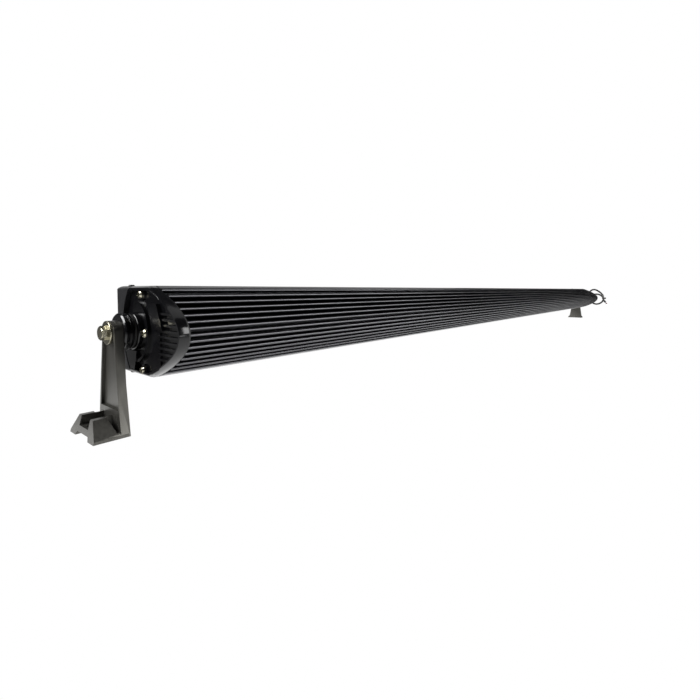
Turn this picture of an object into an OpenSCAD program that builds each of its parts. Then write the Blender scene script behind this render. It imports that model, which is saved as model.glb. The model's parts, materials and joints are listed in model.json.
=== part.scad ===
// Single-row LED light bar: finned D-section housing between two cast end caps,
// hung on two channel-section feet that turn about M5 pivot bolts.
// X runs along the bar, -Y is the light-emitting front, +Y the finned back, +Z up.
// Most modules work in the section frame: y = 0 where the curved back begins,
// z = 0 at the middle of the section's height.

/* [Housing] */
// Length of the extruded housing
bar_len = 1372; // [600:4:1372]
// Height of the section
bar_h = 58.4; // [54:0.2:62]
// Depth of the curved back behind the flat sides
crown_depth = 48.5; // [46:0.5:52]
// Depth of the front before the curved back
front_depth = 35; // [34:1:38]
// Spacing of the cooling fins
fin_pitch = 3.75; // [3.5:0.25:4.5]
// Thickness of one cooling fin
fin_t = 1; // [0.9:0.1:1.4]
// Diameter of the rounded bead along a fin's tip
fin_bead = 1.5; // [1:0.1:1.8]
// Thickness of the wall that carries the light-source boards
web_t = 3.6; // [3:0.2:4]

/* [Optics] */
// Number of light sources along the bar, in four equal groups
led_count = 28; // [8:4:28]
// Spacing of the light sources
led_pitch = 48; // [48:1:48]
// Height of the clear window
window_h = 46; // [42:1:46]
// Thickness of the glass
lens_t = 5; // [3:0.5:5]

/* [End caps] */
// Thickness of the cap gasket
gasket_t = 1; // [0.5:0.1:1.2]
// Width of one cap with its gasket
cap_w = 7; // [6.5:0.5:8]
// Thickness of the cap floor
cap_floor_t = 3; // [2.5:0.5:3.5]
// Radius of the pivot boss
boss_r = 12.4; // [11:0.1:13]
// Distance of the pivot axis in front of the curved back
pivot_front = 13.5; // [13:0.5:14]
// Distance of the pivot axis below the middle of the section
pivot_drop = 0.5; // [0:0.1:1]

/* [Brackets] */
// Height of the pivot axis above the mounting surface
axis_h = 64.5; // [64:0.5:75]
// Half the width of a leg at the pivot
leg_half_w = 9.6; // [9.4:0.1:10.2]
// Height of a leg's round top above the pivot axis
leg_top_h = 7.5; // [7:0.1:9]
// Thickness of a leg across its flanges
leg_t = 5.5; // [5:0.1:6]
// Thickness of the leg's web
leg_web_t = 3.6; // [3:0.1:4.5]
// Thickness of one flange
flange_t = 1.9; // [1.6:0.1:2]
// Width of the foot on the mounting surface
foot_w = 39.6; // [38:0.2:42]
// Height of the foot
foot_h = 12.5; // [12:0.5:15]
// Reach of the foot beyond the leg
foot_reach = 15.7; // [15:0.1:18]
// Width of the bolt-head groove in the foot
groove_w = 14.6; // [13.6:0.2:15]
// Diameter of the foot's bolt hole
foot_hole_d = 8.4; // [8.4:0.1:9]

/* [Fasteners] */
// Diameter of the pivot bolts
bolt_d = 5; // [5:0.1:5]
// Hexagon of the pivot bolts across flats
bolt_af = 8; // [8:0.1:8]
// Outer diameter of the flat washers
washer_d = 15; // [12:0.5:15]
// Diameter of the small screws
screw_d = 3; // [3:0.1:3]
// Diameter of the small screws' pan heads
pan_d = 5.5; // [5:0.1:6]

/* [Supply cord] */
// Outer diameter of the two-core cord
cord_d = 5; // [5:0.1:5]
// Diameter of one insulated core
core_d = 2.2; // [2:0.1:2.2]

/* [Hidden] */
$fn = 48;
half_h = bar_h / 2;
// Half height at which the back's curve would close, beyond the flat sides
crown_half = half_h + 2.8;
half_len = bar_len / 2;
end_x = half_len + cap_w;
crown_y = -6;
pivot_y = -pivot_front;
pivot_z = -pivot_drop;
eps = 0.01;

// Front cavity, from the lens seat back to the board wall
bezel_t = 2.5;
bezel_back = -15.9;
lens_front = -front_depth + 2.8;
lens_back = lens_front + lens_t;
tongue_tip = -26;
tongue_z = half_h - bezel_t - 0.4;
tongue_t = 1.8;
cavity_z = tongue_z - tongue_t;
web_front = -10;
web_back = web_front + web_t;
wall_t = 1.8;

// Driver chamber behind the board wall
core_depth = 32;
core_half = 23;
core_wall = 1.8;
port_r = 2.9;

// Seam between the bezel's end wall and the end cap, an arc round the pivot boss
seam_r = 43;
seam_gap = 0.4;
seam_y = -27.5 + seam_r;

// Cap screws, as [y, z]: above, beside and below the pivot boss
cap_screws = [[-2.4, 23.6], [2.2, -1.3], [-1.5, -25.4]];
screw_clear = 0.05;

// Rounded edge of a cap, as [distance from the housing's end, inset]
rim_inset = 2.2;
cap_edge = [[gasket_t, 0], [3.2, 0.1], [4.8, 0.5], [6.2, 1.3], [cap_w, rim_inset]];
rim_t = 1;

// Relief of a cap's floor
seat_r = 3.8;
rib_n = 4;
rib_pitch = 3.5;
rib_w = 1.4;
rib_h = 1.6;
ring_r = 21;
ring_w = 1.8;
ring_h = 2;

// Stations along the pivot, measured outwards from the housing's end
cap_face = gasket_t + cap_floor_t;
screw_seat = cap_face + 1;
boss_x = cap_w + 1;
friction_t = 1.6;
spacer_t = 6.1;
running_gap = 0.1;
leg_x = boss_x + friction_t + spacer_t + running_gap;
leg_out = leg_x + leg_t;
leg_web = leg_x + leg_web_t;
washer_t = 1.2;
head_t = 3.7;
washer_x = leg_out + running_gap;
head_x = washer_x + washer_t;
bolt_len = 20;
insert_d = 7;

// Foot, in the pivot frame
foot_shift = -3.7;
foot_end = leg_out + foot_reach;
foot_lean = 3;
foot_top_w = 22.4;
foot_edge = 1.8;
groove_floor = 6.4;
channel_w = 18;
channel_d = 2.7;
crossbar_t = 3.7;
leg_front_in = 3.9;
leg_back_in = 4.8;
foot_hole_x = leg_out + 7.9;
pad_r = 8;
notch_x = leg_out + 1.2;
notch_z = 4.2;
notch_r = 1;
notch_h = 18;
notch_spread = 6;
notch_from = 7.4;
notch_len = 39.2;

// Gland and breather on the left cap, as [y, z]
gland_at = [16.5, 10];
breather_at = [8, -13];
gland_thread_d = 12;
gland_seat_r = 8.6;
breather_stem_r = 2.9;
breather_head_r = 5.4;
gland_af = 15;
gland_boss_x = cap_face + 2.5;
gland_hex_t = 4.5;
gland_nut_x = gland_boss_x + gland_hex_t;
gland_nut_t = 9.5;
gland_tip = gland_nut_x + gland_nut_t + 1.2;

// Light-source groups
group_count = 4;
group_leds = led_count / group_count;
group_len = group_leds * led_pitch;
pad_t = 0.5;
board_t = 1.6;
board_h = 40;
board_front = web_front - pad_t - board_t;
cup_front = -26.8;
cup_r = 20.8;
cup_back_r = 5.2;
cup_wall = 1;
cup_lift = 2.4;
board_screw_z = 16.5;
board_screw_inset = 4;

// Countersunk screws that hold the bezel, and the small ones in its solid ends
bezel_screw_y = -20.5;
bezel_screw_step = 112;
bezel_screw_n = floor((half_len - 30) / bezel_screw_step);
end_screw_x = half_len + 2;
end_screw_y = -24;
end_screw_d = 2.5;
end_screw_len = 6;
tap_r = screw_d / 2 + screw_clear;

// Driver boards
driver_len = 500;
driver_x = [-585, 85];
driver_z = -13.6;
driver_y0 = -5.4;
driver_w = 17.5;
driver_top = driver_z + board_t;
terminal_x = -end_x + 112;

// Cord route, as [distance beyond the left cap's rim, y, z] in the section frame
cord_route = [
    [-2, 16.5, 10], [8, 16.5, 10], [15, 16.5, 10], [22, 16.6, 10.4], [28.6, 17, 12.2],
    [34.4, 18, 15.8], [39, 19.8, 20.2], [42.4, 22.8, 24.2], [44.8, 27.2, 26.6],
    [46, 32.8, 26.8], [46.6, 38.8, 24.2],
    [46.6, 44.5, 20.2], [46.2, 50, 15.6], [45.4, 54.6, 10.4], [44.4, 57.2, 4.6], [43.6, 58, -1],
    [43.2, 57.6, -6.5], [42.8, 55, -12], [42.4, 50.6, -16.4], [41.8, 45, -19.4],
    [41, 38.5, -20.6], [40.2, 32, -19], [39.4, 26.6, -15], [38.6, 23.4, -9], [38, 22.4, -2.4],
    [37.6, 24, 4], [37.4, 28, 9], [37.4, 33.4, 11.6], [37.4, 39.5, 12], [37.6, 45.5, 11],
    [37.8, 51, 8.2], [38, 55, 4.8], [38, 57.6, 1], [38, 58.2, -3], [38, 59.4, -7], [38, 62, -10.6]
];
tie_at = [40.8, 58, -1];
shrink_route = [[38, 59.9, -8], [38, 62, -10.6], [38, 64.4, -13.4]];
core_route_up = [[39.2, 62, -10.6], [39.2, 64.4, -13.4], [39.4, 66.6, -16], [39.8, 68.4, -19]];
core_route_down = [[36.8, 62, -10.6], [36.8, 64.4, -13.4], [36.4, 66.2, -16.6], [36, 67.4, -20]];
core_spread = 1.2;
ferrule_len = 5;

// ---------- helpers ----------

// Depth of the curved back at height z, for a crown of the given depth and half height
function crown_at(z, depth, half) = depth * (1 - pow(z / half, 2));

// Points of the curved back from bottom to top, cut at height cut, closer together at its tip
function crown_points(depth, half, cut, steps = 24) = [
    for (i = [-steps:steps])
        let (u = i / steps, z = cut * sign(u) * pow(abs(u), 1.5))
            [crown_at(z, depth, half), z]
];

// Section with a curved back, flat sides at height cut and a flat front
module crown_outline(depth, half, front, cut) {
    polygon(concat([[front, -cut]], crown_points(depth, half, cut), [[front, cut]]));
}

// Moves its children from the section frame to the part's frame
module in_section() {
    translate([0, crown_y, axis_h + pivot_drop]) children();
}

// Extrudes a section (y, z) along X between two stations
module along_x(x0, x1) {
    translate([x0, 0, 0]) rotate([90, 0, 90]) linear_extrude(x1 - x0) children();
}

// Round bar, or cone, along X at [y, z]
module rod_x(x0, x1, r0, r1, at = [0, 0], sides = 48) {
    translate([x0, at[0], at[1]]) rotate([0, 90, 0]) cylinder(h = x1 - x0, r1 = r0, r2 = r1, $fn = sides);
}

// Builds the right end's children, or their mirror image at the left end
module at_end(side) {
    in_section() mirror([side < 0 ? 1 : 0, 0, 0]) translate([half_len, 0, 0]) children();
}

// Same, with the origin moved to the pivot axis
module at_pivot(side) {
    at_end(side) translate([0, pivot_y, pivot_z]) children();
}

// Regular hexagon prism along X, corners at its top and bottom
module hex_x(x0, x1, across_flats, at = [0, 0]) {
    translate([x0, at[0], at[1]]) rotate([0, 90, 0])
        cylinder(h = x1 - x0, d = across_flats / cos(30), $fn = 6);
}

// Pan-head screw along X: head from x outwards, shank inwards, cross recess in the head
module pan_screw(x, at, shank, head_h = 2) {
    difference() {
        union() {
            rod_x(x, x + head_h * 0.5, pan_d / 2, pan_d / 2, at);
            rod_x(x + head_h * 0.5, x + head_h, pan_d / 2, pan_d / 2 - 0.9, at);
            rod_x(x - shank, x, screw_d / 2, screw_d / 2, at);
        }
        for (turn = [0, 90])
            translate([x + head_h, at[0], at[1]]) rotate([turn, 0, 0])
                cube([2.2, 0.7, 3.2], center = true);
    }
}

// Vector of length 1
function unit(v) = v / norm(v);

// Direction of a route at point i
function route_dir(p, i) = unit(p[min(i + 1, len(p) - 1)] - p[max(i - 1, 0)]);

// Side vectors carried along a route without twist
function carried(p, start) = [
    for (i = 0, n = unit(start); i < len(p);
         i = i + 1, n = i < len(p) ? unit(n - (n * route_dir(p, i)) * route_dir(p, i)) : n) n
];

// Round tube along a route
module tube(p, r, sides) {
    n = carried(p, [0, 0.2, 1]);
    rings = [
        for (i = [0:len(p) - 1])
            let (b = cross(route_dir(p, i), n[i]))
                for (k = [0:sides - 1])
                    p[i] + r * (cos(360 * k / sides) * n[i] + sin(360 * k / sides) * b)
    ];
    last = (len(p) - 1) * sides;
    faces = concat(
        [[for (k = [sides - 1:-1:0]) k]],
        [for (i = [0:len(p) - 2]) for (k = [0:sides - 1])
            let (a = i * sides + k, b = i * sides + (k + 1) % sides) [a, b, b + sides, a + sides]],
        [[for (k = [0:sides - 1]) last + k]]
    );
    polyhedron(points = rings, faces = faces, convexity = 6);
}

// A cord route as points in the part's frame
function placed(route) = [for (q = route) [-end_x - q[0], q[1] + crown_y, q[2] + axis_h + pivot_drop]];

// Places along X of the light-source groups, their screws and the bezel screws
function group_x(g) = (g - (group_count - 1) / 2) * group_len;
function board_screw_x() = [
    for (g = [0:group_count - 1]) for (e = [-1, 1])
        group_x(g) + e * (group_len / 2 - board_screw_inset)
];
function bezel_screw_x() = [for (i = [-bezel_screw_n:bezel_screw_n]) i * bezel_screw_step];

// ---------- housing ----------

// One fin with a bead along its tip, as a section
module fin_section(z) {
    tip = crown_at(z, crown_depth - 1, crown_half) - fin_bead / 2;
    translate([web_front, z - fin_t / 2]) square([tip - web_front, fin_t]);
    translate([tip, z]) circle(d = fin_bead, $fn = 16);
}

module core_outer() {
    crown_outline(core_depth, core_half, web_front, core_half);
}

module core_inner() {
    half = core_half - core_wall;
    crown_outline(core_depth - core_wall, half, web_back, half);
}

// Outer wall, shoulder and tongue on the upper side of the section
module side_wall() {
    inner = half_h - wall_t;
    polygon([
        [web_front, inner], [crown_at(inner, crown_depth - 1, crown_half), inner],
        [crown_at(half_h, crown_depth - 1, crown_half), half_h], [web_front, half_h]
    ]);
    translate([bezel_back + 0.2, cavity_z]) square([web_front - bezel_back, half_h - cavity_z]);
    translate([tongue_tip, cavity_z]) square([web_front - tongue_tip, tongue_t]);
}

module housing_section() {
    fins_each_side = floor((half_h - wall_t - fin_bead / 2) / fin_pitch);
    difference() {
        union() {
            translate([web_front, -half_h]) square([web_t, bar_h]);
            core_outer();
            for (i = [-fins_each_side:fins_each_side]) fin_section(i * fin_pitch);
            side_wall();
            mirror([0, 1]) side_wall();
        }
        core_inner();
    }
    // Screw ports for the caps
    for (s = cap_screws) {
        difference() {
            union() {
                translate(s) circle(r = port_r);
                translate([web_back - 1, s[1] - port_r / 2]) square([s[0] - web_back + 1, port_r]);
            }
            translate(s) circle(r = tap_r);
        }
    }
}

module housing() {
    color([0.05, 0.05, 0.055]) in_section() difference() {
        along_x(-half_len, half_len) difference() {
            housing_section();
            for (s = cap_screws) translate(s) circle(r = tap_r);
        }
        // Tapped holes for the board screws and the bezel screws
        for (x = board_screw_x()) for (z = [-1, 1])
            translate([x, web_front - 1, z * board_screw_z]) rotate([-90, 0, 0])
                cylinder(r = tap_r, h = web_t + 2);
        for (x = bezel_screw_x()) for (z = [-1, 1])
            translate([x, bezel_screw_y, z * (cavity_z - 1)]) rotate([z < 0 ? 180 : 0, 0, 0])
                cylinder(r = tap_r, h = tongue_t + 2);
    }
}

// ---------- front ----------

module bezel_block() {
    corner = 1.2;
    polygon([
        [bezel_back, -half_h], [bezel_back, half_h], [-front_depth + corner, half_h],
        [-front_depth, half_h - corner], [-front_depth, -half_h + corner],
        [-front_depth + corner, -half_h]
    ]);
}

// Cutter that rounds the bezel's upper end edge like the caps' edges
module bezel_end_round() {
    edge = [for (e = cap_edge) [half_len + e[0], half_h - e[1]]];
    translate([0, -front_depth - 1, 0]) rotate([90, 0, 0]) mirror([0, 0, 1])
        linear_extrude(front_depth) polygon(concat(
            [for (i = [1:len(edge) - 1]) edge[i]], [[end_x + 1, half_h - rim_inset], [end_x + 1, half_h + 1]],
            [[edge[1][0] - 2, half_h + 1], [edge[1][0] - 2, half_h]]
        ));
}

module front_bezel() {
    color([0.09, 0.09, 0.095]) in_section() difference() {
        along_x(-end_x, end_x) bezel_block();
        // Room for the lens, its gasket and the housing's tongues
        translate([-half_len - 0.6, lens_front, -half_h + bezel_t])
            cube([bar_len + 1.2, 30, bar_h - 2 * bezel_t]);
        // Window
        translate([-half_len + 6, -front_depth - 1, -window_h / 2])
            cube([bar_len - 12, 10, window_h]);
        // Arc-shaped seam to the end caps
        for (side = [-1, 1])
            mirror([side < 0 ? 1 : 0, 0, 0])
                rod_x(half_len - 2, end_x + 1, seam_r, seam_r, [seam_y, 0], 180);
        for (x = bezel_screw_x()) for (z = [-1, 1]) rotate([z < 0 ? 180 : 0, 0, 0])
            translate([x, z * bezel_screw_y, half_h - bezel_t - 1]) {
                cylinder(d = screw_d + 0.3, h = bezel_t + 2);
                translate([0, 0, bezel_t + 1 - 1.5])
                    cylinder(d1 = screw_d + 0.3, d2 = screw_d + 3.5, h = 1.6);
            }
        for (x = [-1, 1]) for (z = [-1, 1]) mirror([x < 0 ? 1 : 0, 0, 0]) mirror([0, 0, z < 0 ? 1 : 0]) {
            translate([end_screw_x, end_screw_y, half_h - end_screw_len - 0.2])
                cylinder(r = end_screw_d / 2 + screw_clear, h = end_screw_len + 1);
            bezel_end_round();
        }
    }
}

module lens() {
    color([0.85, 0.92, 0.95, 0.4]) in_section()
        translate([-half_len, lens_front + 0.1, -half_h + bezel_t + 0.4])
            cube([bar_len, lens_t - 0.1, bar_h - 2 * bezel_t - 0.8]);
}

module lens_gasket() {
    band = 2.6;
    h = bar_h - 2 * bezel_t - 0.8;
    color([0.08, 0.08, 0.08]) in_section() difference() {
        translate([-half_len, lens_back, -h / 2]) cube([bar_len, tongue_tip - lens_back, h]);
        translate([-half_len + band, lens_back - 1, -h / 2 + band])
            cube([bar_len - 2 * band, 10, h - 2 * band]);
    }
}

// Bowl of one reflector as a half section, following a parabola from back to front
function cup_curve(steps = 6) = [
    for (i = [0:steps])
        let (u = i / steps) [cup_back_r + (cup_r - cup_back_r) * sqrt(u), u]
];

module reflector_cup() {
    cup_back = board_front - cup_lift;
    depth = cup_back - cup_front;
    inner = [for (q = cup_curve()) [q[0], q[1] * depth]];
    outer = [for (q = cup_curve()) [q[0] + cup_wall, q[1] * depth]];
    back = [for (i = [len(outer) - 1:-1:0]) outer[i]];
    translate([0, cup_back, 0]) rotate([90, 0, 0])
        rotate_extrude($fn = 48) polygon(concat(inner, back));
}

module reflector_group() {
    plate_t = 1.2;
    difference() {
        translate([-group_len / 2 + 0.2, cup_front, -cavity_z + 1.4])
            cube([group_len - 0.4, plate_t, 2 * cavity_z - 2.8]);
        for (i = [0:group_leds - 1])
            translate([(i - (group_leds - 1) / 2) * led_pitch, cup_front + plate_t + 1, 0])
                rotate([90, 0, 0]) cylinder(r = cup_r + 0.4, h = plate_t + 2);
    }
    for (i = [0:group_leds - 1])
        translate([(i - (group_leds - 1) / 2) * led_pitch, 0, 0]) reflector_cup();
}

module reflectors() {
    color([0.85, 0.86, 0.88]) in_section()
        for (g = [0:group_count - 1]) translate([group_x(g), 0, 0]) reflector_group();
}

module led_boards() {
    color([0.9, 0.9, 0.88]) in_section() for (g = [0:group_count - 1])
        translate([group_x(g), 0, 0]) difference() {
            translate([-group_len / 2 + 0.5, board_front, -board_h / 2])
                cube([group_len - 1, board_t, board_h]);
            for (e = [-1, 1]) for (z = [-1, 1])
                translate([e * (group_len / 2 - board_screw_inset), board_front - 1, z * board_screw_z])
                    rotate([-90, 0, 0]) cylinder(d = screw_d + 0.3, h = board_t + 2);
        }
}

module led_emitters() {
    chip = 5;
    chip_t = 1;
    color([0.95, 0.85, 0.35]) in_section() for (i = [0:led_count - 1])
        translate([(i - (led_count - 1) / 2) * led_pitch, board_front, 0]) {
            translate([-chip / 2, -chip_t, -chip / 2]) cube([chip, chip_t, chip]);
            translate([0, -chip_t + eps, 0]) rotate([90, 0, 0]) difference() {
                sphere(d = chip - 0.6, $fn = 24);
                translate([0, 0, -chip]) cube(2 * chip, center = true);
            }
        }
}

module thermal_pads() {
    color([0.6, 0.65, 0.7]) in_section() for (g = [0:group_count - 1])
        translate([group_x(g), 0, 0]) difference() {
            translate([-group_len / 2 + 0.5, web_front - pad_t, -board_h / 2])
                cube([group_len - 1, pad_t, board_h]);
            for (e = [-1, 1]) for (z = [-1, 1])
                translate([e * (group_len / 2 - board_screw_inset), web_front - 2, z * board_screw_z])
                    rotate([-90, 0, 0]) cylinder(d = screw_d + 0.3, h = 4);
        }
}

module board_screws() {
    head_h = 1.5;
    color("silver") in_section() for (x = board_screw_x()) for (z = [-1, 1])
        translate([x, board_front - head_h, z * board_screw_z]) rotate([-90, 0, 0]) {
            cylinder(d = pan_d - 1.4, h = head_h);
            cylinder(d = screw_d, h = head_h + board_t + pad_t + web_t - 0.4);
        }
}

module bezel_screws() {
    color([0.12, 0.12, 0.12]) in_section() for (x = bezel_screw_x()) for (z = [-1, 1])
        rotate([z < 0 ? 180 : 0, 0, 0]) translate([x, z * bezel_screw_y, 0]) difference() {
            union() {
                translate([0, 0, cavity_z + 0.2]) cylinder(d = screw_d, h = half_h - cavity_z - 1.6);
                translate([0, 0, half_h - 1.5])
                    cylinder(d1 = screw_d, d2 = screw_d + 3, h = 1.4);
            }
            translate([0, 0, half_h]) cylinder(d = 2.2, h = 1.8, center = true, $fn = 6);
        }
}

module bezel_end_screws() {
    color([0.15, 0.15, 0.15]) in_section()
        for (x = [-1, 1]) for (z = [-1, 1]) mirror([0, 0, z < 0 ? 1 : 0])
            translate([x * end_screw_x, end_screw_y, half_h]) {
                cylinder(d1 = 4, d2 = 3.2, h = 0.8);
                translate([0, 0, -end_screw_len]) cylinder(d = end_screw_d, h = end_screw_len + 0.1);
            }
}

// ---------- drivers ----------

module driver_boards() {
    color([0.1, 0.35, 0.2]) in_section() for (x = driver_x)
        translate([x, driver_y0, driver_z]) cube([driver_len, driver_w, board_t]);
}

module driver_inductors() {
    color([0.25, 0.25, 0.27]) in_section() for (x = driver_x) for (i = [0:4])
        translate([x + 50 + i * 100, driver_y0 + 10, driver_top]) {
            cylinder(d = 12, h = 5.2);
            cylinder(d = 5, h = 6);
        }
}

module driver_capacitors() {
    color([0.2, 0.2, 0.35]) in_section() for (x = driver_x) for (i = [0:4])
        translate([x + 72 + i * 100, driver_y0 + 12, driver_top + 4]) rotate([0, 90, 0]) {
            cylinder(d = 8, h = 14);
            translate([0, 0, 14]) cylinder(d = 6.6, h = 0.4);
        }
}

module driver_chips() {
    color([0.05, 0.05, 0.05]) in_section() for (x = driver_x) for (i = [0:4])
        for (j = [0, 1])
            translate([x + 14 + i * 100 + j * 14, driver_y0 + 4 + j * 4, driver_top])
                cube([7, 6, 2.4]);
}

module input_terminal() {
    color([0.1, 0.5, 0.2]) in_section()
        translate([terminal_x, driver_y0 + 3, driver_top]) difference() {
            cube([9, 12, 7]);
            for (y = [3.4, 8.6]) {
                translate([-1, y, 4]) rotate([0, 90, 0]) cylinder(d = core_d + 0.2, h = 7);
                translate([4.5, y, 5]) cylinder(d = 2.6, h = 4);
            }
        }
}

// Two insulated leads from the cord's inner end to the input terminal
module supply_leads() {
    lead_r = core_d / 2;
    y_end = [driver_y0 + 6.4, driver_y0 + 11.6];
    z_end = driver_top + 4;
    in_section() for (k = [0, 1]) color(k == 0 ? [0.7, 0.05, 0.05] : [0.05, 0.05, 0.05]) {
        y0 = gland_at[0] + (k == 0 ? -core_spread : core_spread);
        tube([
            [-end_x + 2, y0, 10], [-end_x + 16, y0, 10], [-end_x + 32, y0 - 0.2, 8],
            [-end_x + 48, y0 - 0.6, 1.6], [-end_x + 62, y0 - 0.6, -4.6],
            [-end_x + 74, y0 - 0.6, z_end], [-end_x + 88, (y0 + y_end[k]) / 2, z_end],
            [-end_x + 102, y_end[k], z_end], [terminal_x + 3, y_end[k], z_end]
        ], lead_r, 8);
    }
}

// ---------- end caps ----------

// Outline of a cap, with its sides drawn in by inset and its back a little
module cap_outline(inset) {
    intersection() {
        crown_outline(crown_depth - 0.15 * inset, crown_half - inset, -30, half_h - inset);
        translate([seam_y, 0]) circle(r = seam_r - seam_gap, $fn = 180);
    }
}

// Solid cap with its rounded edge
module cap_blank() {
    hull() {
        for (e = cap_edge) along_x(min(e[0], cap_w - eps), min(e[0], cap_w - eps) + eps) cap_outline(e[1]);
    }
}

// Floor area inside the rim
module cap_recess() {
    inset = rim_inset + rim_t;
    crown_outline(crown_depth - 1.6, crown_half - inset, -40, half_h - inset);
}

// Raised land beside the seam, below the boss
module seam_land() {
    polygon([[-32, -13.5], [-8, -13.5], [-9.5, -20], [-13, -half_h], [-32, -half_h]]);
}

// Part of a ring round the pivot, cut to the side away from the seam
module step_ring() {
    intersection() {
        translate([pivot_y, pivot_z]) difference() {
            circle(r = ring_r);
            circle(r = ring_r - ring_w);
        }
        translate([pivot_y + 3, -ring_r]) square([ring_r + 1, 2 * ring_r - 1]);
    }
}

module cap_relief() {
    along_x(cap_face - eps, cap_w - 0.3) intersection() {
        seam_land();
        cap_outline(2);
    }
    along_x(cap_face - eps, cap_face + ring_h) step_ring();
    // Upper block, which is the gland's seat on the left cap
    along_x(cap_face - eps, gland_boss_x) polygon([[8.5, 18], [20, 18], [27, 2], [14, 2]]);
    // Lower panel with a slanting front edge
    along_x(cap_face - eps, cap_face + 0.8) intersection() {
        polygon([[17.5, 1.4], [21, 1.4], [21, -30], [8, -30]]);
        cap_recess();
    }
    // Ribs between the panel and the rim
    along_x(cap_face - eps, cap_face + rib_h) intersection() {
        for (i = [-rib_n:rib_n]) translate([19 + i * 0.15, i * rib_pitch - 2.7]) square([30, rib_w]);
        cap_recess();
    }
    // Seats of the screws
    along_x(cap_face - eps, screw_seat) intersection() {
        for (s = cap_screws) translate(s) circle(r = seat_r);
        cap_outline(1);
    }
}

module end_cap(gland) {
    difference() {
        union() {
            difference() {
                cap_blank();
                along_x(cap_face, cap_w + 1) cap_recess();
            }
            cap_relief();
            rod_x(cap_face - eps, boss_x - 0.8, boss_r, boss_r, [pivot_y, pivot_z]);
            rod_x(boss_x - 0.8, boss_x, boss_r, boss_r - 0.8, [pivot_y, pivot_z]);
            if (gland) rod_x(cap_face - eps, gland_boss_x, gland_seat_r, gland_seat_r, gland_at);
        }
        rod_x(0, boss_x + 1, insert_d / 2, insert_d / 2, [pivot_y, pivot_z]);
        for (s = cap_screws) {
            rod_x(0, cap_w, screw_d / 2 + 0.15, screw_d / 2 + 0.15, s);
            rod_x(screw_seat, cap_w + 1, pan_d / 2 + 0.1, pan_d / 2 + 0.1, s);
        }
        if (gland) {
            rod_x(0, gland_boss_x + 1, gland_thread_d / 2, gland_thread_d / 2, gland_at);
            rod_x(0, cap_w, breather_stem_r + 0.1, breather_stem_r + 0.1, breather_at);
            rod_x(cap_face, cap_w + 1, breather_head_r + 0.8, breather_head_r + 0.8, breather_at);
        }
    }
}

module right_end_cap() {
    color([0.04, 0.04, 0.045]) at_end(1) end_cap(false);
}

module left_end_cap() {
    color([0.04, 0.04, 0.045]) at_end(-1) end_cap(true);
}

module cap_gasket() {
    chamber_half = core_half - core_wall - 3;
    along_x(0, gasket_t) difference() {
        cap_outline(1.2);
        crown_outline(core_depth - core_wall - 3, chamber_half, web_back + 1.5, chamber_half);
        translate([tongue_tip - 10, -cavity_z]) square([web_front - tongue_tip + 7, 2 * cavity_z]);
    }
}

module gasket_with_holes(gland) {
    difference() {
        union() {
            cap_gasket();
            rod_x(0, gasket_t, port_r, port_r, cap_screws[1]);
            translate([0, web_back, cap_screws[1][1] - 2])
                cube([gasket_t, cap_screws[1][0] - web_back, 4]);
        }
        for (s = cap_screws) rod_x(-1, gasket_t + 1, screw_d / 2 + 0.2, screw_d / 2 + 0.2, s);
        rod_x(-1, gasket_t + 1, insert_d / 2 + 0.5, insert_d / 2 + 0.5, [pivot_y, pivot_z]);
        if (gland) rod_x(-1, gasket_t + 1, cord_d, cord_d, gland_at);
    }
}

module right_cap_gasket() {
    color([0.1, 0.1, 0.1]) at_end(1) gasket_with_holes(false);
}

module left_cap_gasket() {
    color([0.1, 0.1, 0.1]) at_end(-1) gasket_with_holes(true);
}

module cap_screw_set() {
    for (s = cap_screws) pan_screw(screw_seat, s, 13);
}

module right_cap_screws() {
    color([0.8, 0.78, 0.72]) at_end(1) cap_screw_set();
}

module left_cap_screws() {
    color([0.8, 0.78, 0.72]) at_end(-1) cap_screw_set();
}

module breather_valve() {
    color([0.12, 0.12, 0.12]) at_end(-1) {
        rod_x(gasket_t, cap_face, breather_stem_r, breather_stem_r, breather_at);
        difference() {
            union() {
                rod_x(cap_face, cap_face + 2.6, breather_head_r, breather_head_r, breather_at);
                rod_x(cap_face + 2.6, cap_face + 3.4, breather_head_r, breather_head_r - 0.8, breather_at);
            }
            for (turn = [0:60:179]) translate([cap_face + 3.4, breather_at[0], breather_at[1]])
                rotate([turn, 0, 0]) cube([1.6, 0.8, 12], center = true);
        }
    }
}

// ---------- pivots ----------

module threaded_insert() {
    bore_r = bolt_d / 2 + screw_clear;
    difference() {
        rod_x(gasket_t + 0.2, boss_x - 0.2, insert_d / 2, insert_d / 2);
        rod_x(0, boss_x, bore_r, bore_r);
    }
}

module right_insert() {
    color("goldenrod") at_pivot(1) threaded_insert();
}

module left_insert() {
    color("goldenrod") at_pivot(-1) threaded_insert();
}

module friction_washer() {
    difference() {
        rod_x(boss_x, boss_x + friction_t, boss_r - 1.4, boss_r - 1.4);
        rod_x(0, leg_out, bolt_d / 2 + 0.2, bolt_d / 2 + 0.2);
    }
}

module right_friction_washer() {
    color([0.05, 0.05, 0.05]) at_pivot(1) friction_washer();
}

module left_friction_washer() {
    color([0.05, 0.05, 0.05]) at_pivot(-1) friction_washer();
}

// Spool-shaped spacer with a grooved edge
module pivot_spacer() {
    x0 = boss_x + friction_t;
    x1 = x0 + spacer_t;
    r = boss_r - 0.3;
    difference() {
        union() {
            rod_x(x0, x0 + 0.6, r - 0.6, r);
            rod_x(x0 + 0.6, x0 + 2.2, r, r);
            rod_x(x0 + 2.2, x1 - 2.2, r - 1, r - 1);
            rod_x(x1 - 2.2, x1 - 0.9, r, r);
            rod_x(x1 - 0.9, x1, r, r - 0.9);
        }
        rod_x(x0 - 1, x1 + 1, bolt_d / 2 + 0.05, bolt_d / 2 + 0.05);
    }
}

module right_pivot_spacer() {
    color([0.06, 0.06, 0.06]) at_pivot(1) pivot_spacer();
}

module left_pivot_spacer() {
    color([0.06, 0.06, 0.06]) at_pivot(-1) pivot_spacer();
}

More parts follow.
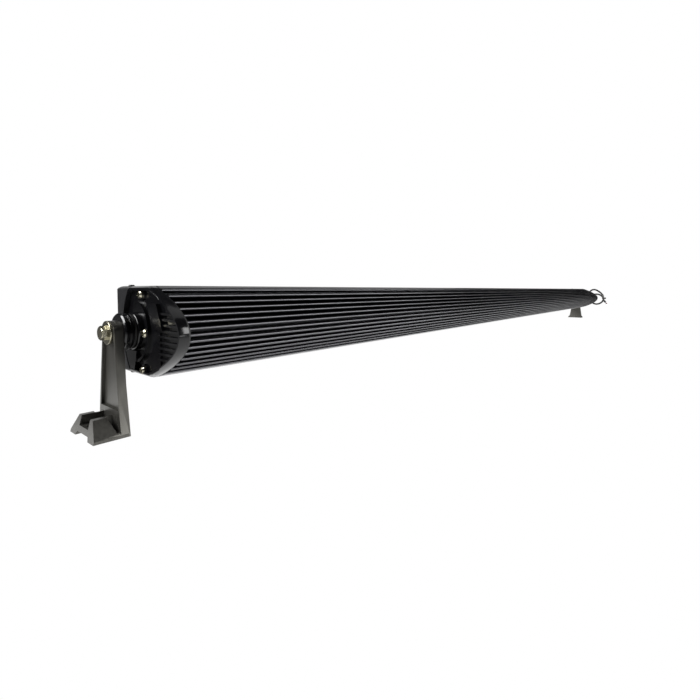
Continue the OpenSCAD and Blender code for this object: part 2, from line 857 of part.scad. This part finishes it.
module pivot_bolt() {
    rod_x(head_x - bolt_len, head_x, bolt_d / 2, bolt_d / 2);
    intersection() {
        hex_x(head_x, head_x + head_t, bolt_af);
        union() {
            rod_x(head_x, head_x + head_t - 0.7, bolt_af, bolt_af);
            rod_x(head_x + head_t - 0.7, head_x + head_t, bolt_af * 0.62, bolt_af * 0.5);
        }
    }
}

module right_pivot_bolt() {
    color([0.8, 0.78, 0.7]) at_pivot(1) pivot_bolt();
}

module left_pivot_bolt() {
    color([0.8, 0.78, 0.7]) at_pivot(-1) pivot_bolt();
}

module flat_washer() {
    difference() {
        rod_x(washer_x, washer_x + washer_t, washer_d / 2, washer_d / 2);
        rod_x(washer_x - 1, washer_x + washer_t + 1, bolt_d / 2 + 0.15, bolt_d / 2 + 0.15);
    }
}

module right_flat_washer() {
    color([0.75, 0.74, 0.7]) at_pivot(1) flat_washer();
}

module left_flat_washer() {
    color([0.75, 0.74, 0.7]) at_pivot(-1) flat_washer();
}

// ---------- brackets ----------

// Rounded top of a leg, wider than a half circle would be
function top_curve(half_w, height, steps = 16) = [
    for (i = [0:steps])
        let (turn = 180 * i / steps)
            [half_w * sign(cos(turn)) * pow(abs(cos(turn)), 0.8), height * pow(sin(turn), 0.8)]
];

// Leg outline: round top, sides spreading to the foot; drawn in by inset, cut off at floor_z
module leg_outline(inset, floor_z) {
    front = foot_shift - foot_w / 2 + leg_front_in;
    back = foot_shift + foot_w / 2;
    intersection() {
        polygon(concat(top_curve(leg_half_w - inset, leg_top_h - inset), [
            [front + inset, -axis_h], [back - inset, -axis_h], [back - leg_back_in - inset, -axis_h / 2]
        ]));
        translate([-50, floor_z]) square([100, 100]);
    }
}

// Hollow of the leg's channel, open at the top, with a pad left round the pivot hole
module leg_channel(floor_z) {
    half_w = leg_half_w - flange_t;
    difference() {
        union() {
            leg_outline(flange_t, floor_z);
            translate([-half_w, 0]) square([2 * half_w, leg_top_h + 1]);
        }
        circle(r = pad_r);
    }
}

module foot_profile() {
    half_w = foot_w / 2;
    half_top = foot_top_w / 2;
    half_groove = groove_w / 2;
    half_channel = channel_w / 2;
    polygon([
        [-half_w, 0], [-half_channel - 1.5, 0], [-half_channel, channel_d],
        [half_channel, channel_d], [half_channel + 1.5, 0], [half_w, 0],
        [half_w, foot_edge], [half_top, foot_h], [half_groove, foot_h],
        [half_groove, groove_floor], [-half_groove, groove_floor], [-half_groove, foot_h],
        [-half_top, foot_h], [-half_w, foot_edge]
    ]);
}

module bracket() {
    bore_r = bolt_d / 2 + 0.05;
    recess_floor = -axis_h + foot_h + crossbar_t;
    difference() {
        union() {
            along_x(leg_x, leg_out) leg_outline(0, -axis_h + eps);
            along_x(leg_x + 1, foot_end) translate([foot_shift, -axis_h]) foot_profile();
        }
        // Channel open to the outside
        along_x(leg_web, leg_out + 1) leg_channel(recess_floor);
        // Leaning end of the foot
        translate([foot_end, 0, -axis_h]) rotate([0, -atan(foot_lean / foot_h), 0])
            translate([0, -60, -5]) cube([30, 120, 60]);
        // Notches between the leg and the foot's two cheeks
        for (y = [-1, 1])
            translate([notch_x, foot_shift + y * (notch_from + notch_len / 2), -axis_h + notch_z])
                rotate([90, 0, 0]) linear_extrude(notch_len, center = true) {
                    circle(r = notch_r);
                    polygon([
                        [-notch_r, 0.2], [notch_r, 0.2],
                        [notch_r + notch_spread, notch_h + 0.2], [-notch_r, notch_h + 0.2]
                    ]);
                }
        // Pivot hole
        rod_x(leg_x - 1, leg_out + 1, bore_r, bore_r);
        // Hole for the mounting bolt
        translate([foot_hole_x, foot_shift, -axis_h - 1]) cylinder(d = foot_hole_d, h = 20);
    }
}

module right_bracket() {
    color([0.33, 0.33, 0.34]) at_pivot(1) bracket();
}

module left_bracket() {
    color([0.33, 0.33, 0.34]) at_pivot(-1) bracket();
}

// ---------- cord ----------

module gland_body() {
    thread_r = gland_thread_d / 2;
    color([0.1, 0.1, 0.1]) at_end(-1) difference() {
        union() {
            rod_x(gasket_t, gland_boss_x, thread_r, thread_r, gland_at);
            hex_x(gland_boss_x, gland_nut_x, gland_af, gland_at);
        }
        rod_x(0, gland_nut_x + 1, cord_d / 2 + 0.4, cord_d / 2 + 0.4, gland_at);
    }
}

module gland_nut() {
    mid = gland_nut_x + 5;
    outer = gland_af / 2;
    bore_r = cord_d / 2 + 1.3;
    color([0.1, 0.1, 0.1]) at_end(-1) difference() {
        union() {
            hex_x(gland_nut_x, mid, gland_af, gland_at);
            rod_x(mid, mid + 2.5, outer, outer - 1.2, gland_at);
            rod_x(mid + 2.5, gland_nut_x + gland_nut_t, outer - 1.2, bore_r + 0.8, gland_at);
        }
        rod_x(gland_nut_x - 1, gland_tip + 1, bore_r, bore_r, gland_at);
    }
}

module gland_seal() {
    bore_r = cord_d / 2 + 0.05;
    outer = cord_d / 2 + 1.3;
    color([0.06, 0.06, 0.06]) at_end(-1) difference() {
        rod_x(gland_nut_x, gland_tip, outer, outer, gland_at);
        rod_x(gland_nut_x - 1, gland_tip + 1, bore_r, bore_r, gland_at);
    }
}

module cord() {
    color([0.06, 0.06, 0.06]) tube(placed(cord_route), cord_d / 2, 10);
}

// Loop of the tie round two strands, as a section
module tie_outline(grow) {
    reach = 2.8;
    r = cord_d / 2 + 0.1 + grow;
    translate([-reach, 0]) circle(r = r);
    translate([reach, 0]) circle(r = r);
    square([2 * reach, 2 * r], center = true);
}

module cable_tie() {
    band = 1;
    tie_w = 3.4;
    spot = placed([tie_at])[0];
    color([0.07, 0.07, 0.07]) translate(spot) {
        difference() {
            linear_extrude(tie_w, center = true) tie_outline(band);
            linear_extrude(tie_w + 1, center = true) tie_outline(0);
        }
        translate([-1.5, cord_d / 2 + band + 0.1, -2.4]) cube([4.4, 3.4, 4.8]);
        translate([2.8, cord_d / 2 + band + 1.2, -1.4]) cube([7, 1, 2.8]);
    }
}

module heat_shrink() {
    color([0.03, 0.03, 0.03]) tube(placed(shrink_route), cord_d / 2 + 0.5, 12);
}

module core_positive() {
    color([0.65, 0.05, 0.05]) tube(placed(core_route_up), core_d / 2, 8);
}

module core_negative() {
    color([0.03, 0.03, 0.03]) tube(placed(core_route_down), core_d / 2, 8);
}

module wire_ferrules() {
    color([0.8, 0.8, 0.82]) for (route = [core_route_up, core_route_down]) {
        p = placed(route);
        tip = p[len(p) - 1];
        dir = route_dir(p, len(p) - 1);
        tube([tip, tip + ferrule_len * dir], 0.8, 12);
    }
}

housing();
front_bezel();
lens();
lens_gasket();
reflectors();
led_boards();
led_emitters();
thermal_pads();
board_screws();
driver_boards();
driver_inductors();
driver_capacitors();
driver_chips();
input_terminal();
supply_leads();
right_end_cap();
left_end_cap();
right_cap_gasket();
left_cap_gasket();
right_cap_screws();
left_cap_screws();
bezel_screws();
bezel_end_screws();
breather_valve();
right_insert();
left_insert();
right_friction_washer();
left_friction_washer();
right_pivot_spacer();
left_pivot_spacer();
right_pivot_bolt();
left_pivot_bolt();
right_flat_washer();
left_flat_washer();
right_bracket();
left_bracket();
gland_body();
gland_seal();
gland_nut();
cord();
cable_tie();
heat_shrink();
core_positive();
core_negative();
wire_ferrules();
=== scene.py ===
"""Looks of a single-row LED light bar with a finned back: camera, cord, materials, pieces, studio."""

import json
import math

import bmesh
import bpy
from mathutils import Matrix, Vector


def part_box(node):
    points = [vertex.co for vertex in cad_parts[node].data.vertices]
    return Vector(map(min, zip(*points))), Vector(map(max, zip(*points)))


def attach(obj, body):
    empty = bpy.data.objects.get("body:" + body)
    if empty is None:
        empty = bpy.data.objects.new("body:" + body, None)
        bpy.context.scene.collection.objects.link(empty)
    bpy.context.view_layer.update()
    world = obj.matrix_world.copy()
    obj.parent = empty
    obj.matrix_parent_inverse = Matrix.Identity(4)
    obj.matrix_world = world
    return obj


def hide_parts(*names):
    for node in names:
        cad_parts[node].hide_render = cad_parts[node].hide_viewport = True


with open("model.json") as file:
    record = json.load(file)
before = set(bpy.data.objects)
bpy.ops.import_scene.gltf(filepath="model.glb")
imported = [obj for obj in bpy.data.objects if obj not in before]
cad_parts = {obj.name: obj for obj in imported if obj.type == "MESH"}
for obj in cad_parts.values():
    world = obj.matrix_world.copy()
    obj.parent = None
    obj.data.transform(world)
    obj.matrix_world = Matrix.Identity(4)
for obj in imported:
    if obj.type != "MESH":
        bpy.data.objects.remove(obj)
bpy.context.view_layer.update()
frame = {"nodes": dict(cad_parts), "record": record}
MM = 0.001
LIGHT = "light"
SIDES = ("right", "left")


# ---------- camera ----------

# Steps along x, y and z from the highest corner of the cordless end's cap to the camera
CAMERA_FROM_CAP = (0.1153, 0.2206, -0.0025)
CAMERA_YAW = math.radians(39.51)
CAMERA_DIP = math.radians(2.849)
SENSOR_WIDTH = 36.0
FOCAL_LENGTH = 21.08
LENS_SHIFT = -0.0571


def make_camera():
    """Standing behind the cordless end, just below the height of the bar's top, looking along the bar."""
    cap_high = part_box("right_end_cap")[1]
    place = Vector([corner + step for corner, step in zip(cap_high, CAMERA_FROM_CAP)])
    level = math.cos(CAMERA_DIP)
    look = Vector((-math.cos(CAMERA_YAW) * level, -math.sin(CAMERA_YAW) * level, -math.sin(CAMERA_DIP)))
    data = bpy.data.cameras.new("camera")
    data.sensor_width = SENSOR_WIDTH
    data.lens = FOCAL_LENGTH
    data.shift_y = LENS_SHIFT
    data.clip_start = 0.01
    data.clip_end = 100
    camera = bpy.data.objects.new("camera", data)
    bpy.context.scene.collection.objects.link(camera)
    camera.location = place
    camera.rotation_mode = "QUATERNION"
    camera.rotation_quaternion = look.to_track_quat("-Z", "Y")
    bpy.context.scene.camera = camera


make_camera()


# ---------- cord ----------

# Route of the supply cord in mm: distance beyond the bezel's left end, then y from the section's widest
# point and z from its middle height
CORD_ROUTE = [
    (-2, 16.5, 10), (8, 16.5, 10), (15, 16.5, 10), (22, 16.6, 10.4), (28.6, 17, 12.2), (34.4, 18, 15.8),
    (39, 19.8, 20.2), (42.4, 22.8, 24.2), (44.8, 27.2, 26.6), (46, 32.8, 26.8), (46.6, 38.8, 24.2),
    (46.6, 44.5, 20.2), (46.2, 50, 15.6), (45.4, 54.6, 10.4), (44.4, 57.2, 4.6), (43.6, 58, -1),
    (43.2, 57.6, -6.5), (42.8, 55, -12), (42.4, 50.6, -16.4), (41.8, 45, -19.4), (41, 38.5, -20.6),
    (40.2, 32, -19), (39.4, 26.6, -15), (38.6, 23.4, -9), (38, 22.4, -2.4), (37.6, 24, 4), (37.4, 28, 9),
    (37.4, 33.4, 11.6), (37.4, 39.5, 12), (37.6, 45.5, 11), (37.8, 51, 8.2), (38, 55, 4.8), (38, 57.6, 1),
    (38, 58.2, -3), (38, 59.4, -7), (38, 62, -10.6),
]
CORD_DIAMETER = 5.0 * MM
# The route's point where the cord leaves the gland
EXIT_POINT = 2
# From the section's widest point to the back of its crown
CROWN_DEPTH = 48.5 * MM


def route_points():
    """The route in metres, placed from the boxes of the bezel, the housing and the right cap."""
    bar_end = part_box("front_bezel")[0].x
    housing_low, housing_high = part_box("housing")
    middle = (housing_low.z + housing_high.z) / 2
    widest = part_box("right_end_cap")[1].y - CROWN_DEPTH
    return [Vector((bar_end - d * MM, widest + y * MM, middle + z * MM)) for d, y, z in CORD_ROUTE]


def make_cord():
    """The cord as one tube along its route; also gives the point of its exit and its length."""
    points = route_points()
    curve = bpy.data.curves.new("supply_cord", "CURVE")
    curve.dimensions = "3D"
    spline = curve.splines.new("POLY")
    spline.points.add(len(points) - 1)
    for knot, point in zip(spline.points, points):
        knot.co = (*point, 1)
        knot.radius = CORD_DIAMETER / 2
    spline.use_smooth = True
    # The depth is multiplied by each knot's radius, and the curve's box is grown by that radius
    curve.bevel_depth = 1.0
    curve.bevel_resolution = 6
    curve.use_fill_caps = True
    cord = bpy.data.objects.new("supply_cord", curve)
    bpy.context.scene.collection.objects.link(cord)
    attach(cord, LIGHT)
    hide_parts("cord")
    length = sum((b - a).length for a, b in zip(points, points[1:]))
    return cord, points[EXIT_POINT], length


supply_cord, cord_exit, cord_length = make_cord()


# ---------- node materials ----------

# Values between which nearly all of a noise texture lies
NOISE_LOW = 0.3
NOISE_HIGH = 0.7
ROUGHNESS_SPREAD = 0.06


class Nodes:
    """Short way to build one material's node tree."""

    def __init__(self, name):
        self.material = bpy.data.materials.new(name)
        self.material.use_nodes = True
        self.tree = self.material.node_tree
        self.shader = self.tree.nodes["Principled BSDF"]

    def add(self, kind, inputs=None, **settings):
        node = self.tree.nodes.new(kind)
        for key, value in settings.items():
            setattr(node, key, value)
        for key, value in (inputs or {}).items():
            socket = node.inputs[key]
            if isinstance(value, bpy.types.NodeSocket):
                self.tree.links.new(value, socket)
            else:
                socket.default_value = value
        return node

    def set(self, **values):
        """Uniform values straight on the shader's sockets."""
        for key, value in values.items():
            self.shader.inputs[key.replace("_", " ")].default_value = value

    def link(self, socket, name):
        self.tree.links.new(socket, self.shader.inputs[name])

    def place(self, scale=(1, 1, 1)):
        """Object coordinates in metres, stretched by scale."""
        coordinates = self.add("ShaderNodeTexCoord").outputs["Object"]
        return self.add("ShaderNodeMapping", {"Vector": coordinates, "Scale": scale}).outputs[0]

    def noise(self, vector, scale, detail=3.0, roughness=0.5):
        return self.add(
            "ShaderNodeTexNoise",
            {"Vector": vector, "Scale": scale, "Detail": detail, "Roughness": roughness},
        ).outputs["Fac"]

    def blend(self, value, low_colour, high_colour):
        """From one colour to the other as a noise value rises."""
        node = self.add("ShaderNodeValToRGB", {"Fac": value})
        stops = ((NOISE_LOW, low_colour), (NOISE_HIGH, high_colour))
        for element, (position, colour) in zip(node.color_ramp.elements, stops):
            element.position = position
            element.color = (*colour, 1)
        return node.outputs["Color"]

    def spread(self, value, low, high):
        """Maps a noise value to a range."""
        return self.add(
            "ShaderNodeMapRange",
            {"Value": value, "From Min": NOISE_LOW, "From Max": NOISE_HIGH, "To Min": low, "To Max": high},
        ).outputs[0]

    def math(self, operation, a, b=0.0):
        return self.add("ShaderNodeMath", {0: a, 1: b}, operation=operation).outputs[0]

    def bump(self, height, strength, distance):
        node = self.add("ShaderNodeBump", {"Height": height, "Strength": strength, "Distance": distance})
        self.link(node.outputs[0], "Normal")


def anodised_extrusion():
    m = Nodes("anodised_extrusion")
    streaks = m.noise(m.place((6, 900, 900)), scale=1.0, detail=2.0)
    grain = m.noise(m.place(), scale=2600.0, detail=2.0)
    m.link(m.blend(streaks, (0.08, 0.08, 0.085), (0.11, 0.11, 0.118)), "Base Color")
    m.link(m.spread(streaks, low=0.26, high=0.34), "Roughness")
    m.set(Metallic=0.85, Specular_IOR_Level=0.5)
    m.bump(m.math("ADD", streaks, grain), strength=0.1, distance=0.00003)
    return m.material


def cast_paint():
    m = Nodes("cast_paint")
    peel = m.noise(m.place(), scale=420.0, detail=2.0)
    fine = m.noise(m.place(), scale=2400.0, detail=2.0)
    m.link(m.blend(peel, (0.002, 0.002, 0.0024), (0.0035, 0.0035, 0.0042)), "Base Color")
    m.link(m.spread(fine, low=0.15, high=0.2), "Roughness")
    m.set(Specular_IOR_Level=0.35, Coat_Weight=0.25, Coat_Roughness=0.06)
    m.bump(peel, strength=0.05, distance=0.0002)
    return m.material


def powder_coat():
    m = Nodes("powder_coat")
    peel = m.noise(m.place(), scale=900.0, detail=3.0)
    m.link(m.blend(peel, (0.008, 0.008, 0.0085), (0.014, 0.014, 0.015)), "Base Color")
    m.link(m.spread(peel, low=0.3, high=0.42), "Roughness")
    m.set(Specular_IOR_Level=0.55)
    m.bump(peel, strength=0.15, distance=0.0002)
    return m.material


def bracket_finish():
    m = Nodes("bracket_finish")
    streaks = m.noise(m.place((500, 500, 40)), scale=1.0, detail=3.0)
    grain = m.noise(m.place(), scale=1500.0, detail=3.0)
    m.link(m.blend(streaks, (0.08, 0.078, 0.07), (0.105, 0.102, 0.092)), "Base Color")
    m.link(m.spread(grain, low=0.3, high=0.36), "Roughness")
    m.set(Metallic=0.8, Specular_IOR_Level=0.5)
    m.bump(grain, strength=0.04, distance=0.00001)
    return m.material


def stainless():
    m = Nodes("stainless")
    scratches = m.noise(m.place((900, 300, 300)), scale=1.0, detail=3.0)
    m.link(m.blend(scratches, (0.36, 0.34, 0.25), (0.5, 0.475, 0.38)), "Base Color")
    m.link(m.spread(scratches, low=0.2, high=0.26), "Roughness")
    m.set(Metallic=1.0)
    m.bump(scratches, strength=0.05, distance=0.00001)
    return m.material


def plain_like(name, dark, light, rough, scale=700.0, metallic=0.0, bump=0.1):
    """A material with one fine grain in its colour, gloss and surface."""
    m = Nodes(name)
    grain = m.noise(m.place(), scale=scale, detail=3.0)
    m.link(m.blend(grain, dark, light), "Base Color")
    m.link(m.spread(grain, low=rough - ROUGHNESS_SPREAD, high=rough + ROUGHNESS_SPREAD), "Roughness")
    m.set(Metallic=metallic)
    m.bump(grain, strength=bump, distance=0.0002)
    return m.material


def clear_glass():
    m = Nodes("clear_glass")
    waves = m.noise(m.place(), scale=30.0, detail=1.0)
    m.link(m.spread(waves, low=0.01, high=0.03), "Roughness")
    m.set(Base_Color=(0.93, 0.97, 0.97, 1), Transmission_Weight=1.0, IOR=1.5)
    return m.material


SLOT_MATERIALS = {
    "housing_black": anodised_extrusion(),
    "bezel_black": powder_coat(),
    "cap_black": cast_paint(),
    "lens_glass": clear_glass(),
    "rubber_black": plain_like("rubber", (0.012,) * 3, (0.022,) * 3, 0.6),
    "reflector_silver": plain_like(
        "metallised", (0.8, 0.8, 0.82), (0.9, 0.9, 0.92), 0.12, scale=200, metallic=1.0, bump=0.05,
    ),
    "board_white": plain_like("board_white", (0.7, 0.7, 0.68), (0.8, 0.8, 0.78), 0.5),
    "emitter_yellow": plain_like("phosphor", (0.75, 0.5, 0.05), (0.85, 0.6, 0.1), 0.3),
    "pad_grey": plain_like("pad_grey", (0.2, 0.24, 0.28), (0.26, 0.3, 0.34), 0.7),
    "pcb_green": plain_like("pcb_green", (0.01, 0.06, 0.02), (0.02, 0.09, 0.03), 0.4),
    "ferrite_grey": plain_like("ferrite_grey", (0.03,) * 3, (0.05,) * 3, 0.6),
    "capacitor_can": plain_like("capacitor_can", (0.05, 0.05, 0.12), (0.08, 0.08, 0.16), 0.3),
    "chip_black": plain_like("chip_black", (0.01,) * 3, (0.02,) * 3, 0.5),
    "terminal_green": plain_like("terminal_green", (0.02, 0.15, 0.04), (0.03, 0.2, 0.06), 0.4),
    "stainless": stainless(),
    "screw_black": plain_like("screw_black", (0.015,) * 3, (0.03,) * 3, 0.35, scale=900, metallic=0.8),
    "brass": plain_like("brass", (0.55, 0.38, 0.12), (0.65, 0.46, 0.18), 0.25, scale=900, metallic=1.0),
    "bracket_grey": bracket_finish(),
    "nylon_black": plain_like("nylon", (0.012,) * 3, (0.02,) * 3, 0.45),
    "cord_jacket": plain_like("jacket", (0.012,) * 3, (0.02,) * 3, 0.42),
    "core_red": plain_like("core_red", (0.14, 0.008, 0.008), (0.2, 0.012, 0.012), 0.35),
    "core_black": plain_like("core_black", (0.01,) * 3, (0.018,) * 3, 0.35),
    "tinned_copper": plain_like(
        "tinned", (0.6, 0.6, 0.62), (0.75, 0.75, 0.77), 0.25, scale=900, metallic=1.0,
    ),
}
SLOT_OF = {part["node"]: part["material_slot"] for part in frame["record"]["subparts"]}
BODY_OF = {name: body for body, names in frame["record"]["behaviour"]["bodies"].items() for name in names}


# ---------- finished pieces ----------

# Width of the rounded edges in mm; pieces not named in these two only get smooth shading
EDGE_WIDTH = {
    "front_bezel": 0.35,
    "bezel_screws": 0.12,
    "bezel_end_screws": 0.15,
    "breather_valve": 0.2,
    "gland_body": 0.3,
    "gland_nut": 0.3,
    "cable_tie": 0.2,
    "input_terminal": 0.15,
    "driver_chips": 0.15,
    "led_emitters": 0.1,
    "led_boards": 0.15,
}
# The same for the pieces that are there once at each end of the bar
END_EDGE_WIDTH = {
    "bracket": 0.55,
    "pivot_bolt": 0.3,
    "flat_washer": 0.3,
    "pivot_spacer": 0.15,
    "friction_washer": 0.2,
    "cap_screws": 0.15,
}
for side in SIDES:
    EDGE_WIDTH.update({f"{side}_{part}": width for part, width in END_EDGE_WIDTH.items()})

BEVEL_STEPS = 3
# Corners closer than this are one corner
WELD = 0.002 * MM
# Faces that meet at less than this angle are one flat face
FLAT = math.radians(1.0)
# Edges above this angle are sharp
ROUNDED = math.radians(32)
# The same for the caps, whose rounded crest has wider steps than the rest
SMOOTH_ANGLE = {f"{side}_end_cap": math.radians(50) for side in SIDES}
# A face with less area than this width times its longest edge is a sliver
SLIVER = 0.04 * MM


def clean_mesh(name):
    """A CAD node's mesh as a bmesh with welded corners and whole flat faces."""
    bm = bmesh.new()
    bm.from_mesh(frame["nodes"][name].data)
    bmesh.ops.remove_doubles(bm, verts=bm.verts[:], dist=WELD)
    bmesh.ops.dissolve_limit(bm, angle_limit=FLAT, verts=bm.verts[:], edges=bm.edges[:])
    return bm


def round_edges(bm, width):
    """Rounds the sharp edges, with the width in mm."""
    sharp = [e for e in bm.edges if len(e.link_faces) == 2 and e.calc_face_angle(0.0) > ROUNDED]
    bmesh.ops.bevel(
        bm, geom=sharp, offset=width * MM, offset_type="OFFSET", segments=BEVEL_STEPS, profile=0.5,
        affect="EDGES", clamp_overlap=True,
    )


def is_sliver(face):
    return face.calc_area() < SLIVER * max(e.calc_length() for e in face.edges)


def mark_sharp(bm, limit):
    """Edges are sharp above the limit and round slivers, whose own direction means nothing."""
    slivers = {face for face in bm.faces if is_sliver(face)}
    for edge in bm.edges:
        faces = edge.link_faces
        turn = edge.calc_face_angle(math.pi) if len(faces) == 2 else math.pi
        edge.smooth = turn <= limit and not slivers.intersection(faces)
    for face in bm.faces:
        face.smooth = True


def finished_piece(name):
    """The node's own finished piece, with rounded edges and smooth curved faces."""
    bm = clean_mesh(name)
    if name in EDGE_WIDTH:
        round_edges(bm, EDGE_WIDTH[name])
    mark_sharp(bm, SMOOTH_ANGLE.get(name, ROUNDED))
    mesh = bpy.data.meshes.new(name + "_finished")
    bm.to_mesh(mesh)
    bm.free()
    piece = bpy.data.objects.new(name + "_finished", mesh)
    bpy.context.scene.collection.objects.link(piece)
    weighted = piece.modifiers.new("weighted", "WEIGHTED_NORMAL")
    weighted.keep_sharp = True
    piece.data.materials.append(SLOT_MATERIALS[SLOT_OF[name]])
    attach(piece, BODY_OF[name])
    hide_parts(name)
    return piece


for name, node in frame["nodes"].items():
    node.data.materials.clear()
    node.data.materials.append(SLOT_MATERIALS[SLOT_OF[name]])
    if name != "cord":
        finished_piece(name)

supply_cord.data.materials.append(SLOT_MATERIALS["cord_jacket"])


# ---------- studio ----------

# Brightness of the surroundings in light and reflections
WORLD_GLOW = 0.02
FLOOR_HALF = 30.0
# The floor glows in reflections up to this far along x, and fades beyond it
GLOW_HALF_LENGTH = 0.72
# How fast the glow fades behind the bar, and in front of it, where y is negative
FADE_BEHIND = 0.75
FADE_IN_FRONT = -1.6
# Distances from the bar where the fading begins and ends, and the brightness where it begins
FADE_FROM = 0.02
FADE_TO = 0.45
FLOOR_GLOW = 1.15
# Name, place, target, width and height, and watts of each area light
LIGHTS = [
    ("rear_softbox", (-1.2, 1.5, 0.9), (-1.0, 0, 0.06), (2.3, 1.1), 62),
    ("front_backdrop", (-1.2, -1.6, 0.6), (-1.0, 0, 0.06), (3.4, 1.2), 8),
    ("top_softbox", (0.2, -0.2, 2.2), (0.2, 0, 0), (2.4, 1.0), 4),
    ("crest_softbox", (1.8, -0.45, 1.0), (0.69, 0, 0.08), (1.2, 1.0), 55),
    ("low_card", (0.45, 0.8, 0.05), (0.715, -0.015, 0.064), (0.22, 0.08), 0.2),
]


def area_light(name, place, target, size, power):
    data = bpy.data.lights.new(name, "AREA")
    data.shape = "RECTANGLE"
    data.size = size[0]
    data.size_y = size[1]
    data.energy = power
    light = bpy.data.objects.new(name, data)
    bpy.context.scene.collection.objects.link(light)
    light.location = place
    light.rotation_mode = "QUATERNION"
    light.rotation_quaternion = (Vector(target) - Vector(place)).to_track_quat("-Z", "Y")


def camera_ray_mix(tree, seen, felt):
    """The first shader for what the camera sees, the second for light and reflections."""
    path = tree.nodes.new("ShaderNodeLightPath")
    mix = tree.nodes.new("ShaderNodeMixShader")
    tree.links.new(path.outputs["Is Camera Ray"], mix.inputs[0])
    tree.links.new(felt.outputs[0], mix.inputs[1])
    tree.links.new(seen.outputs[0], mix.inputs[2])
    return mix.outputs[0]


def make_world():
    """White to the camera, dim in light and reflections."""
    world = bpy.data.worlds.new("studio")
    bpy.context.scene.world = world
    world.use_nodes = True
    tree = world.node_tree
    seen = tree.nodes["Background"]
    seen.inputs["Color"].default_value = (1, 1, 1, 1)
    seen.inputs["Strength"].default_value = 1.0
    felt = tree.nodes.new("ShaderNodeBackground")
    felt.inputs["Color"].default_value = (1, 1, 1, 1)
    felt.inputs["Strength"].default_value = WORLD_GLOW
    tree.links.new(camera_ray_mix(tree, seen, felt), tree.nodes["World Output"].inputs["Surface"])


def make_floor():
    """Floor that is white to the camera, and in reflections glows near the bar and fades away from it."""
    mesh = bpy.data.meshes.new("floor")
    corners = [(x * FLOOR_HALF, y * FLOOR_HALF, 0) for x, y in ((-1, -1), (1, -1), (1, 1), (-1, 1))]
    mesh.from_pydata(corners, [], [(0, 1, 2, 3)])
    floor = bpy.data.objects.new("floor", mesh)
    bpy.context.scene.collection.objects.link(floor)
    m = Nodes("floor_paper")
    m.set(Base_Color=(0.04, 0.04, 0.04, 1), Roughness=0.9)
    coordinates = m.add("ShaderNodeTexCoord").outputs["Object"]
    across = m.add("ShaderNodeSeparateXYZ", {0: coordinates}).outputs
    far_x = m.math("MAXIMUM", m.math("SUBTRACT", m.math("ABSOLUTE", across[0]), GLOW_HALF_LENGTH), 0.0)
    behind = m.math("MULTIPLY", across[1], FADE_BEHIND)
    in_front = m.math("MULTIPLY", across[1], FADE_IN_FRONT)
    far_y = m.math("MAXIMUM", behind, in_front)
    away = m.math("SQRT", m.math("ADD", m.math("POWER", far_x, 2.0), m.math("POWER", far_y, 2.0)))
    glow = m.add(
        "ShaderNodeMapRange",
        {"Value": away, "From Min": FADE_FROM, "From Max": FADE_TO, "To Min": FLOOR_GLOW, "To Max": 0.0},
        interpolation_type="SMOOTHSTEP",
    )
    m.link(glow.outputs[0], "Emission Strength")
    m.set(Emission_Color=(1, 1, 1, 1))
    white = m.add("ShaderNodeEmission", {"Color": (1, 1, 1, 1), "Strength": 1.0})
    m.tree.links.new(
        camera_ray_mix(m.tree, white, m.shader), m.tree.nodes["Material Output"].inputs["Surface"]
    )
    floor.data.materials.append(m.material)


def studio():
    make_world()
    make_floor()
    for light in LIGHTS:
        area_light(*light)
    bpy.context.scene.view_settings.view_transform = "Standard"


studio()
